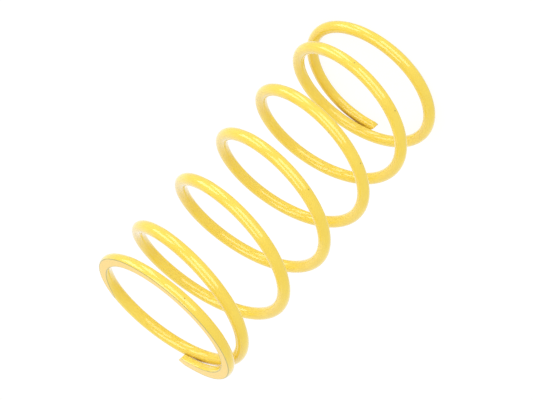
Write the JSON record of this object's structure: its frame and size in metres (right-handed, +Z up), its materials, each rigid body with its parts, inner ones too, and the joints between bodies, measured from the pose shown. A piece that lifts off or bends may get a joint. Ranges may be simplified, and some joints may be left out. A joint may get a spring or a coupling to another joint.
{
  "type": "clutch torque spring",
  "caption": "Wide left-hand compression coil of round spring wire with closed, flat-ground ends, painted yellow, that presses the clutch pulley of a scooter.",
  "frame": {"origin": "centre of the coil at the plane of its lower ground seat", "axes": "+Z up along the coil's axis, from the lower seat to the upper one; +X and +Y across it, turned so that the picture's camera looks along +Y"},
  "size_m": [0.0542, 0.0542, 0.1151],
  "materials": {
    "yellow_paint": "glossy yellow powder coat over spring steel"
  },
  "bodies": {
    "root": {"coil_spring": "yellow_paint"}
  },
  "joints": []
}
